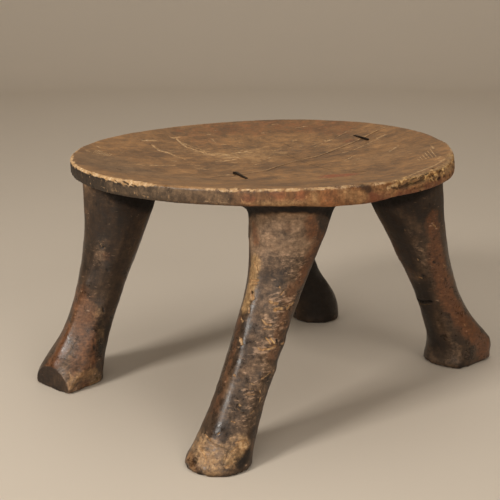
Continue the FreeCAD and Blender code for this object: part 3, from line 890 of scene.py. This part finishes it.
def erode_rim(wood):
    """At the right front the edge is eaten away: a ragged slope, bared and bored by worms."""
    there = wood.window(-57, -14, 4)
    side = smooth_step(wood.share, 0.94, 0.975) * smooth_step(wood.up, -0.0165, -0.0135)
    slope = np.exp(-((wood.corner_gap / (6.5 * millimetre)) ** 2))
    bites = smooth_step(rough_lumps(wood.points, 5.5 * millimetre, 71), -0.3, 0.7)
    wood.moved -= there * slope * (0.8 + 2.0 * bites) * millimetre
    wood.moved -= there * side * smooth_step(wood.torn + 0.5 * wood.ragged, 0.0, 0.8) * millimetre
    side = there * side
    bared = smooth_step(wood.patchy * 0.4 + wood.ragged * 0.7 + 0.2, -0.1, 0.7)
    low = smooth_step(-wood.up, 0.005, 0.009)
    hollow = smooth_step(lumps(wood.points * np.array([1, 1, 1.6]), 5 * millimetre, 72), 0.15, 0.5)
    wood.add("bare", side * bared * (0.8 - 0.5 * low))
    wood.add("wormy", side)
    wood.add("ochre", side * (0.9 - 0.5 * low))
    wood.add("grime", side * hollow * 0.62 * (1 - 0.6 * bared))
    wood.add("ruddy", 0.6 * side * smooth_step(wood.patchy, -0.1, 0.5) * low)


def rim_drop(wood, skin):
    """How much lower the rim's lower edge hangs at the right front."""
    along = np.linalg.norm(wood.points - on_wood(skin, *lowest_rim_place), axis=1)
    lower = smooth_step(-wood.up, 0.007, 0.014) * smooth_step(wood.share, 0.84, 0.95)
    return lower * (1 - smooth_step(along, 0.012, 0.048)) * 2.4 * millimetre


def collar(wood, skin):
    """The front leg keeps a slightly fuller band under the seat, ending in a small uneven step."""
    level = on_wood(skin, *collar_end_place)[2]
    height = wood.points[:, 2] + 0.0025 * wood.patchy + 0.001 * wood.ragged
    above = smooth_step(height, level - 0.0012, level + 0.0012)
    wood.moved += wood.on("front") * above * (wood.up < -0.02) * 0.65 * millimetre


def soil_feet(wood):
    """Dirt and wear round the soles, and the polish that hands and clothes leave lower down."""
    low = 1 - smooth_step(wood.points[:, 2] + 0.002 * wood.ragged, 0.0, 0.0035)
    wood.add("grime", 0.5 * low)
    polished = smooth_step(-wood.points[:, 2], -0.19, -0.12)
    wood.add("sheen", wood.amounts["on_leg"] * polished * (0.75 + 0.25 * wood.patchy))


def paint_root_shadow(wood, skin):
    """Painted shadow: close under the rim, where the rim's shadow falls, the legs are painted
    nearly black.
    """
    below = (wood.up < -0.017) & (wood.amounts["upper"] < 0.5)
    for name, places in root_shade.items():
        line = line_on_wood(skin, places, 1.5)
        mine = np.flatnonzero(wood.on(name) & below)
        apart = np.linalg.norm(wood.points[mine, None, :2] - line[None, :, :2], axis=2)
        above = wood.points[mine, 2] - line[apart.argmin(axis=1), 2] + 0.0006 * wood.ragged[mine]
        near = 1 - smooth_step(apart.min(axis=1), 0.006, 0.02)
        soft = 0.0014 if name == "front" else 0.006
        dark = smooth_step(above, -soft, soft) * near
        wood.rub_off(("dusty", "ochre", "ruddy", "scuffed", "bare", "sheen"), dark, mine)
        wood.add("grime", dark, mine)
    # painted shade too: the rear leg is darkened close under the rim
    rear = wood.on("rear") * smooth_step(wood.up, -0.034, -0.026)
    wood.add("grime", 0.9 * rear * (wood.up < -0.019) * (1 - wood.amounts["upper"]))


def dress_toe(wood):
    """The flat cut outer side of the left toe is dull and dark."""
    way = np.array([math.cos(toe_facet_turn), math.sin(toe_facet_turn), 0])
    beyond = (wood.points - np.array([*toe_corner, 0])) @ way
    facing = smooth_step(wood.normals @ way, 0.8, 0.93)
    flat = on_toe(wood.points) * smooth_step(beyond, -0.0014, -0.0006) * facing
    wood.rub_off(("ruddy", "dusty", "ochre", "bare", "scuffed", "sheen"), flat)
    wood.add("grime", 0.5 * flat)


def scatter_nicks(wood):
    """Small nicks, flakes and holes where the photograph doesn't look, as few as where it does."""
    chance = np.random.RandomState(81)
    away = wood.normals @ np.array([0.0, -0.97, 0.25]) < 0.05
    on_legs = np.flatnonzero(away & (wood.up < -0.04))
    on_rim = np.flatnonzero(away & (wood.share > 0.97) & (wood.up > -0.013))
    for places, count, upright, widest in ((on_legs, 70, 2.5, 1.3), (on_rim, 20, 0, 1.2)):
        for index in chance.choice(places, count, replace=False):
            along = chance.normal(size=3) + np.array([0, 0, chance.choice([0, upright])])
            along -= wood.normals[index] * (along @ wood.normals[index])
            along *= chance.uniform(0.6, 3.2) * millimetre / np.linalg.norm(along)
            line = np.array([wood.points[index] - along, wood.points[index] + along])
            half = chance.uniform(0.45, 1.0) * widest * millimetre
            pale = chance.uniform() < 0.6
            depth = chance.uniform(0.3, 0.8) * millimetre
            wood.cut(line, half, depth, 0.85 * pale, 0.8 * (not pale))
    for places, count, largest in ((on_legs, 34, 26), (on_rim, 9, 12)):
        for index in chance.choice(places, count, replace=False):
            wood.patch(wood.points[[index]], chance.uniform(0.35, 1) * largest * millimetre, {
                chance.choice(["ruddy", "dusty", "ruddy", "grime"]): chance.uniform(0.4, 0.8),
            }, True)
    for index in chance.choice(on_legs, 18, replace=False):
        wood.patch(wood.points[[index]], chance.uniform(6, 16) * millimetre, {
            chance.choice(["ochre", "dusty"]): chance.uniform(0.3, 0.8),
            "scuffed": chance.uniform(0.5, 1.0),
        }, True)


def rubbed_seat(wood):
    """Fainter pale ticks all over the dish, from long use."""
    chance = np.random.RandomState(91)
    for _ in range(110):
        turn = chance.uniform(-math.pi, math.pi)
        out = 0.175 * math.sqrt(chance.uniform(0, 1))
        slant = chance.normal(0.35, 0.45)
        half_length = chance.uniform(1.5, 5.5) * millimetre
        middle = np.array([out * math.cos(turn), out * math.sin(turn)])
        step = np.array([math.cos(slant), math.sin(slant)]) * half_length
        ends = [
            [*end, dish_at(np.hypot(*end) / seat_radius)] for end in (middle - step, middle + step)
        ]
        half = chance.uniform(0.9, 1.5) * millimetre
        wood.cut(from_seat_places(np.array(ends)), half, 0.12 * millimetre,
                 chance.uniform(0.2, 0.5), 0.0)


def carved_wood():
    """The whole stool but for its staples."""
    blank = wood_blank()
    skin = skin_of(blank)
    rim = Rim(skin)
    cuts = all_cuts(skin)
    laid = [
        (line_on_wood(skin, paired(places), 8), radius * millimetre, amounts)
        for radius, amounts, *places in patches
    ]
    ridges = [
        (line_on_wood(skin, paired(places), 8), height * millimetre, width * millimetre)
        for height, width, *places in adze_ridges
    ]
    bpy.data.objects.remove(blank)
    piece = fine_wood(cuts, rim)
    wood = Wood(piece, rim)
    mark_regions(wood)
    carve_surface(wood)
    wear_rim(wood)
    erode_rim(wood)
    collar(wood, skin)
    for ridge in ridges:
        wood.ridge(*ridge)
    for cut in cuts:
        wood.cut(*cut)
    for patch in laid:
        wood.patch(*patch)
    soil_feet(wood)
    scatter_nicks(wood)
    dress_toe(wood)
    paint_root_shadow(wood, skin)
    rubbed_seat(wood)
    lowered = rim_drop(wood, skin)
    wood.finish()
    points = points_of(piece)
    points[:, 2] = np.maximum(points[:, 2] - lowered, solid_box[0][2])
    move_points(piece, points)
    only(piece)
    bpy.ops.object.shade_smooth()
    return piece


# Finishes

def tone(code):
    """A colour written as six hexadecimal figures, as the shader wants it."""
    shades = [int(code[start:start + 2], 16) / 255 for start in (0, 2, 4)]
    return [*(s / 12.92 if s <= 0.04045 else ((s + 0.055) / 1.055) ** 2.4 for s in shades), 1.0]


class Finish:
    """A material while it is put together. Each call adds a node and gives back its output."""

    def __init__(self, name):
        self.material = bpy.data.materials.new(name)
        self.material.use_nodes = True
        self.tree = self.material.node_tree
        self.shader = self.tree.nodes["Principled BSDF"]
        self.place = self.node("ShaderNodeTexCoord").outputs["Object"]

    def node(self, kind, **settings):
        node = self.tree.nodes.new(kind)
        for name, value in settings.items():
            setattr(node, name, value)
        return node

    def put(self, socket, value):
        if isinstance(value, bpy.types.NodeSocket):
            self.tree.links.new(value, socket)
        else:
            socket.default_value = value

    def look(self, name, value):
        """Sets one of the shader's inputs."""
        self.put(self.shader.inputs[name], value)

    def attribute(self, name, output="Fac"):
        return self.node("ShaderNodeAttribute", attribute_name=name).outputs[output]

    def stretched(self, place, turn, stretch):
        """The place turned about Z, in degrees, and then drawn out along each axis."""
        mapping = self.node("ShaderNodeMapping", vector_type="TEXTURE")
        self.put(mapping.inputs["Vector"], place)
        mapping.inputs["Rotation"].default_value = (0, 0, math.radians(turn))
        mapping.inputs["Scale"].default_value = stretch
        return mapping.outputs["Vector"]

    def noise(self, place, scale, detail=4.0, roughness=0.55):
        node = self.node("ShaderNodeTexNoise")
        self.put(node.inputs["Vector"], place)
        node.inputs["Scale"].default_value = scale
        node.inputs["Detail"].default_value = detail
        node.inputs["Roughness"].default_value = roughness
        return node.outputs["Fac"]

    def dots(self, scale, start, end):
        """Round dots at about this scale, 1 in their middles."""
        node = self.node("ShaderNodeTexVoronoi")
        self.put(node.inputs["Vector"], self.place)
        node.inputs["Scale"].default_value = scale
        return self.between(node.outputs["Distance"], start, end, 1.0, 0.0)

    def between(self, value, start, end, low=0.0, high=1.0):
        """Low before start, high after end, and a soft change between them."""
        node = self.node("ShaderNodeMapRange", interpolation_type="SMOOTHSTEP")
        for socket, given in zip(node.inputs, (value, start, end, low, high)):
            self.put(socket, given)
        return node.outputs["Result"]

    def math(self, operation, *values, clamp=False):
        node = self.node("ShaderNodeMath", operation=operation, use_clamp=clamp)
        for socket, value in zip(node.inputs, values):
            self.put(socket, value)
        return node.outputs["Value"]

    def times(self, first, second):
        return self.math("MULTIPLY", first, second)

    def total(self, *parts):
        """The sum of values, each times its share."""
        value = 0.0
        for part, share in parts:
            value = self.math("MULTIPLY_ADD", part, share, value)
        return value

    def swing(self, noise, amount):
        """A noise made to swing this much round nothing."""
        return self.math("MULTIPLY_ADD", noise, amount, -amount / 2)

    def blend(self, share, first, second, kind="MIX"):
        node = self.node("ShaderNodeMix", data_type="RGBA", blend_type=kind)
        factor, first_colour, second_colour = (node.inputs[index] for index in (0, 6, 7))
        self.put(factor, share)
        self.put(first_colour, first)
        self.put(second_colour, second)
        return node.outputs[2]

    def contrast(self, colour, noise, amount):
        """The colour made lighter and darker by a noise."""
        return self.blend(amount, colour, self.between(noise, 0.3, 0.7), "OVERLAY")

    def broken(self, amount, mottle, speck):
        """A patch's amount, made uneven by two noises."""
        uneven = self.total((amount, 1), (self.swing(mottle, 1.2), 1), (self.swing(speck, 0.6), 1))
        return self.times(self.between(uneven, 0.05, 1.05), self.between(amount, 0.02, 0.3))

    def ramp(self, value, *stops):
        """Colours at places between 0 and 1."""
        node = self.node("ShaderNodeValToRGB")
        self.put(node.inputs["Fac"], value)
        elements = node.color_ramp.elements
        while len(elements) < len(stops):
            elements.new(1.0)
        for element, (place, code) in zip(elements, stops):
            element.position = place
            element.color = tone(code)
        return node.outputs["Color"]

    def bump(self, height, distance):
        node = self.node("ShaderNodeBump")
        node.inputs["Strength"].default_value = 1.0
        node.inputs["Distance"].default_value = distance
        self.put(node.inputs["Height"], height)
        self.look("Normal", node.outputs["Normal"])


def aged_wood():
    """Old handled wood: dull brown on the seat, dark and polished on the legs, pale where worn."""
    coat = Finish("aged_wood")
    (on_leg, upper, warm_side, bare, grime, ruddy, dusty, ochre, wormy, scuffed, sheen) = (
        coat.attribute(name) for name in Wood.finishes
    )
    on_side = coat.math("SUBTRACT", coat.math("SUBTRACT", 1.0, on_leg), upper, clamp=True)

    def by_leg(elsewhere, leg):
        """One number on the legs and another elsewhere."""
        return coat.between(on_leg, 0.0, 1.0, elsewhere, leg)

    def by_top(elsewhere, top):
        return coat.between(upper, 0.0, 1.0, elsewhere, top)

    # grain: along the crack on the seat, down the legs and the rim elsewhere
    leg_place = coat.attribute("leg_place", "Vector")
    seat_grain_place = coat.stretched(coat.place, 22, (7.0, 1.0, 3.0))
    side_grain_place = coat.stretched(coat.place, 0, (1.0, 1.0, 5.0))
    leg_grain_place = coat.stretched(leg_place, 0, (1.0, 1.0, 6.0))
    round_leg_place = coat.stretched(leg_place, 0, (3.0, 3.0, 1.0))
    seat_grain = coat.noise(seat_grain_place, 380, 5, 0.65)
    seat_grain = coat.blend(on_side, seat_grain, coat.noise(side_grain_place, 330, 4, 0.6))
    grain = coat.blend(on_leg, seat_grain, coat.noise(leg_grain_place, 260, 5, 0.6))
    seat_streaks = coat.noise(seat_grain_place, 90)
    streaks = coat.blend(on_leg, seat_streaks, coat.noise(leg_grain_place, 75, 4, 0.6))
    clouds = coat.noise(coat.place, 24, 5, 0.6)
    mottle = coat.noise(coat.place, 95, 5, 0.65)
    speck = coat.noise(coat.place, 330, 4, 0.7)
    dust = coat.noise(coat.place, 900, 3, 0.6)

    seat = coat.ramp(clouds, (0.34, "70543a"), (0.5, "896643"), (0.66, "9c744b"))
    leg = coat.ramp(clouds, (0.3, "30241a"), (0.5, "413022"), (0.7, "54402e"))
    side = coat.ramp(warm_side, (0.0, "2c2218"), (0.5, "504030"), (1.0, "895a33"))
    colour = coat.blend(on_side, coat.blend(on_leg, seat, leg), side)
    streaked = coat.between(streaks, 0.5, 0.75, 0.0, by_leg(0.12, 0.3))
    colour = coat.blend(streaked, colour, tone("3a2a1c"))
    colour = coat.contrast(colour, mottle, by_top(0.24, 0.15))
    colour = coat.contrast(colour, grain, by_top(0.25, 0.14))
    colour = coat.contrast(colour, speck, by_top(0.3, 0.2))

    # dust, red and ochre laid on in soft patches, on the seat and on the legs
    for amount, strength, seat_tones, leg_tones in (
        (dusty, 0.85, ((0.35, "765f45"), (0.65, "8b7257")), ((0.32, "6c543f"), (0.68, "a0846a"))),
        (ruddy, 0.85, ((0.35, "7c4329"), (0.65, "a06040")), ((0.3, "553420"), (0.7, "7d5031"))),
        (ochre, 0.8, ((0.32, "80603e"), (0.68, "bd9a6c")), ((0.32, "80603e"), (0.68, "bd9a6c"))),
    ):
        laid = coat.blend(on_leg, coat.ramp(speck, *seat_tones), coat.ramp(speck, *leg_tones))
        colour = coat.blend(coat.times(coat.broken(amount, mottle, speck), strength), colour, laid)

    # scuffs: short pale flecks along the grain of the seat and round the legs
    round_flecks = coat.noise(round_leg_place, 480, 4, 0.65)
    flecks = coat.blend(on_leg, coat.noise(seat_grain_place, 620, 3, 0.6), round_flecks)
    flecks = coat.total((flecks, 1), (scuffed, 0.17))
    flecked = coat.between(flecks, 0.62, 0.75, 0.0, by_leg(0.7, 0.6))
    colour = coat.blend(flecked, colour, coat.blend(on_leg, tone("c49d6e"), tone("ae8f74")))

    # bared wood, its edge torn by fine noise
    torn = coat.total((bare, 1), (coat.swing(dust, 1.4), 1), (coat.swing(speck, 1.6), 1))
    bared = coat.times(coat.between(torn, 0.26, 0.5), coat.between(bare, 0.03, 0.15))
    bare_share = coat.times(bared, coat.between(bare, 0.1, 0.9, 0.3, 0.95))
    fine = coat.noise(coat.place, 260, 4, 0.6)
    seat_bare = coat.ramp(fine, (0.3, "9c784c"), (0.5, "c09b6f"), (0.7, "dfc39c"))
    leg_bare = coat.ramp(fine, (0.32, "6f4f30"), (0.5, "a27c53"), (0.68, "c6a479"))
    eaten_bare = coat.ramp(fine, (0.37, "64421f"), (0.5, "ae814b"), (0.62, "e4bf82"))
    bare_tone = coat.blend(wormy, coat.blend(on_leg, seat_bare, leg_bare), eaten_bare)
    colour = coat.blend(bare_share, colour, bare_tone)
    colour = coat.contrast(colour, round_flecks, by_leg(0.05, 0.2))
    colour = coat.contrast(colour, mottle, by_leg(0.05, 0.2))

    # dirt and painted shade, worm holes and pits
    dirt_and_shade = coat.times(grime, coat.between(mottle, 0.3, 0.6, 0.8, 1.0))
    colour = coat.blend(coat.between(dirt_and_shade, 0.0, 1.0), colour, tone("150e09"))
    bored = coat.times(wormy, coat.between(mottle, 0.42, 0.6))
    holes = coat.times(coat.dots(300, 0.16, 0.3), bored)
    colour = coat.blend(holes, colour, tone("2a1a0d"))
    pits = coat.times(coat.dots(520, 0.1, 0.2), coat.between(clouds, 0.5, 0.65, 0.0, 0.4))
    colour = coat.blend(pits, colour, tone("2b1f15"))
    coat.look("Base Color", colour)
    coat.shader.inputs["Specular IOR Level"].default_value = 0.42

    rough = coat.total(
        (coat.between(sheen, 0.0, 1.0, 0.56, 0.25), 1),
        (coat.between(mottle, 0.35, 0.65, -0.05, 0.1), 1),
        (coat.between(speck, 0.35, 0.65, -0.04, 0.08), 1),
        (bare_share, 0.25), (grime, 0.3), (dusty, 0.08),
    )
    coat.look("Roughness", coat.math("MINIMUM", rough, 1.0))

    round_relief = coat.times(round_flecks, by_leg(0.0, 0.5))
    relief = coat.total(
        (grain, 0.5), (mottle, 0.7), (speck, 0.5), (round_relief, 1), (holes, -1.5), (pits, -0.5),
        (bared, -0.4),
    )
    coat.bump(relief, 0.35 * millimetre)
    return coat.material


def forged_iron():
    """Old black iron with a little rust."""
    coat = Finish("forged_iron")
    spots = coat.noise(coat.place, 420, 5, 0.65)
    coat.look("Base Color", coat.ramp(spots, (0.35, "1d1916"), (0.55, "2e2620"), (0.72, "5a3a24")))
    coat.look("Metallic", coat.between(spots, 0.5, 0.7, 0.75, 0.15))
    coat.look("Roughness", coat.between(spots, 0.35, 0.7, 0.42, 0.8))
    coat.bump(coat.noise(coat.place, 700, 4, 0.6), 0.25 * millimetre)
    return coat.material


def plain(name, code, roughness):
    coat = Finish(name)
    coat.look("Base Color", tone(code))
    coat.look("Roughness", roughness)
    return coat.material


# Staples

bar_length_share = 0.93
bar_half_width = 1.1 * millimetre
bar_half_height = 0.9 * millimetre
bar_sag = 0.5 * millimetre
bar_bow = 0.35 * millimetre
hammer_marks = 0.16 * millimetre
prong_depth = 8.5 * millimetre
prong_reach = 3.2 * millimetre
prong_parts = 3


def forged_staple(name, seed):
    """One staple, hammered from a bar, in the place of its solid."""
    solid = read(frame["nodes"][name].data.vertices, "co", 3)
    bar = solid[solid[:, 2] > np.median(solid[:, 2])]
    middle = (bar.min(axis=0) + bar.max(axis=0)) / 2
    along = np.linalg.svd(bar - bar.mean(axis=0))[2][0]
    along = Vector(along if along[1] > 0 else -along).normalized()
    length = np.ptp(solid @ np.array(along)) * bar_length_share
    across = Vector((0, 0, 1)).cross(along).normalized()
    half = length / 2
    bpy.ops.mesh.primitive_cube_add(size=1)
    piece = bpy.context.object
    piece.name = piece.data.name = "forged_" + name

    def draw_bar():
        bpy.ops.transform.resize(value=(length, bar_half_width * 2, bar_half_height * 2))
        bpy.ops.mesh.subdivide(number_cuts=7)

    def draw_prongs():
        for _ in range(prong_parts):
            bpy.ops.mesh.extrude_region_move(
                TRANSFORM_OT_translate={"value": (0, 0, -prong_depth / prong_parts)})

    edit(piece, draw_bar)
    edit(piece, draw_prongs, [
        face.normal.z < -0.9 and abs(face.center.x) > half - prong_reach
        for face in piece.data.polygons
    ])
    x, y, z = points_of(piece).T
    end_share = np.abs(x) / half
    below = np.clip((-z - bar_half_height) / prong_depth, 0, 1)
    flared = 0.35 * smooth_step(end_share, 0.7, 0.95) * (1 - below)
    wide = 1.12 - 0.32 * (0.5 - 0.5 * x / half) + flared
    y = y * wide * (1 - 0.5 * below)
    x = np.where(below > 0, np.sign(x) * (half - (half - np.abs(x)) * (1 - 0.75 * below)), x)
    z = z - bar_sag * end_share ** 4 * (z > -bar_half_height * 1.5)
    points = np.stack([x, y + bar_bow * np.sin(x / half * 2.6 + seed), z], axis=1)
    points += hammer_marks * np.stack([
        lumps(points + 0.01 * axis, 2.6 * millimetre, seed + axis) for axis in range(3)
    ], axis=1)
    move_points(piece, points @ np.array([along, across, along.cross(across)]) + middle)
    changed(piece, "BEVEL", width=0.35 * millimetre, segments=2, angle_limit=math.radians(40))
    changed(piece, "SUBSURF", levels=1, render_levels=1)
    bpy.ops.object.shade_smooth()
    return piece


# Making

wood_finish = aged_wood()
iron_finish = forged_iron()

stool = carved_wood()
stool.data.materials.append(wood_finish)
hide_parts("carved_stool")
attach(stool, "root")

for node_name, hammer_seed in (("front_staple", 3), ("rear_staple", 8)):
    staple = forged_staple(node_name, hammer_seed)
    staple.data.materials.append(iron_finish)
    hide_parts(node_name)
    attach(staple, "root")

# Floor, backdrop and light

wall_place = 3.4
wall_height = 5
joint_radius = 0.7


def turned_sheet(name, outline, finish):
    """A sheet turned round the stool's middle, whose profile runs through (out, z) places."""
    turns = np.linspace(0, 2 * math.pi, 128, endpoint=False)
    points = [
        (out * math.cos(turn), out * math.sin(turn), z) for out, z in outline for turn in turns
    ]
    around = len(turns)
    faces = [
        (ring * around + side, ring * around + (side + 1) % around,
         (ring + 1) * around + (side + 1) % around, (ring + 1) * around + side)
        for ring in range(len(outline) - 1) for side in range(around)
    ]
    mesh = bpy.data.meshes.new(name)
    mesh.from_pydata(points, [], faces)
    mesh.materials.append(finish)
    piece = added(name, mesh)
    only(piece)
    bpy.ops.object.shade_smooth()


pale_paper = plain("pale_paper", "d2c7b8", 0.6)
joint = [
    (wall_place - joint_radius * (1 - math.sin(turn)), joint_radius * (1 - math.cos(turn)))
    for turn in np.linspace(0, math.pi / 2, 24)
]
turned_sheet("floor", [(0.0001, 0), (1.2, 0), joint[0]], pale_paper)
turned_sheet("backdrop", joint + [(wall_place, wall_height)], pale_paper)


def soft_lamp(name, place, size, power, target=(0, 0, 0.12)):
    """A square lamp that looks at the middle of the stool, or at another target."""
    data = bpy.data.lights.new(name, "AREA")
    data.shape = "SQUARE"
    data.size = size
    data.energy = power
    data.color = (1.0, 0.95, 0.88)
    lamp = added(name, data)
    lamp.location = place
    lamp.rotation_euler = (Vector(target) - Vector(place)).to_track_quat("-Z", "Y").to_euler()


soft_lamp("left_lamp", (-1.25, -1.1, 1.2), 0.45, 22)
soft_lamp("front_lamp", (-0.5, -2.3, 0.8), 1.2, 10)
soft_lamp("right_lamp", (0.85, -1.3, 1.2), 0.8, 6)
soft_lamp("ceiling_lamp", (0, -0.2, 2.7), 2.4, 25)
soft_lamp("wall_lamp", (0, 1.9, 2.4), 1.5, 8, (0, wall_place, 0.4))

world = bpy.data.worlds.new("room")
bpy.context.scene.world = world
world.use_nodes = True
room_light = world.node_tree.nodes["Background"].inputs
room_light["Color"].default_value = (1.0, 0.97, 0.93, 1)
room_light["Strength"].default_value = 0.05

camera_data = bpy.data.cameras.new("camera")
camera_data.lens = camera_lens
camera_data.sensor_width = camera_sensor
camera = added("camera", camera_data)
camera.location = camera_place
camera.rotation_euler = (math.pi / 2 - camera_dip, 0, 0)
bpy.context.scene.camera = camera
bpy.context.scene.view_settings.view_transform = "Standard"
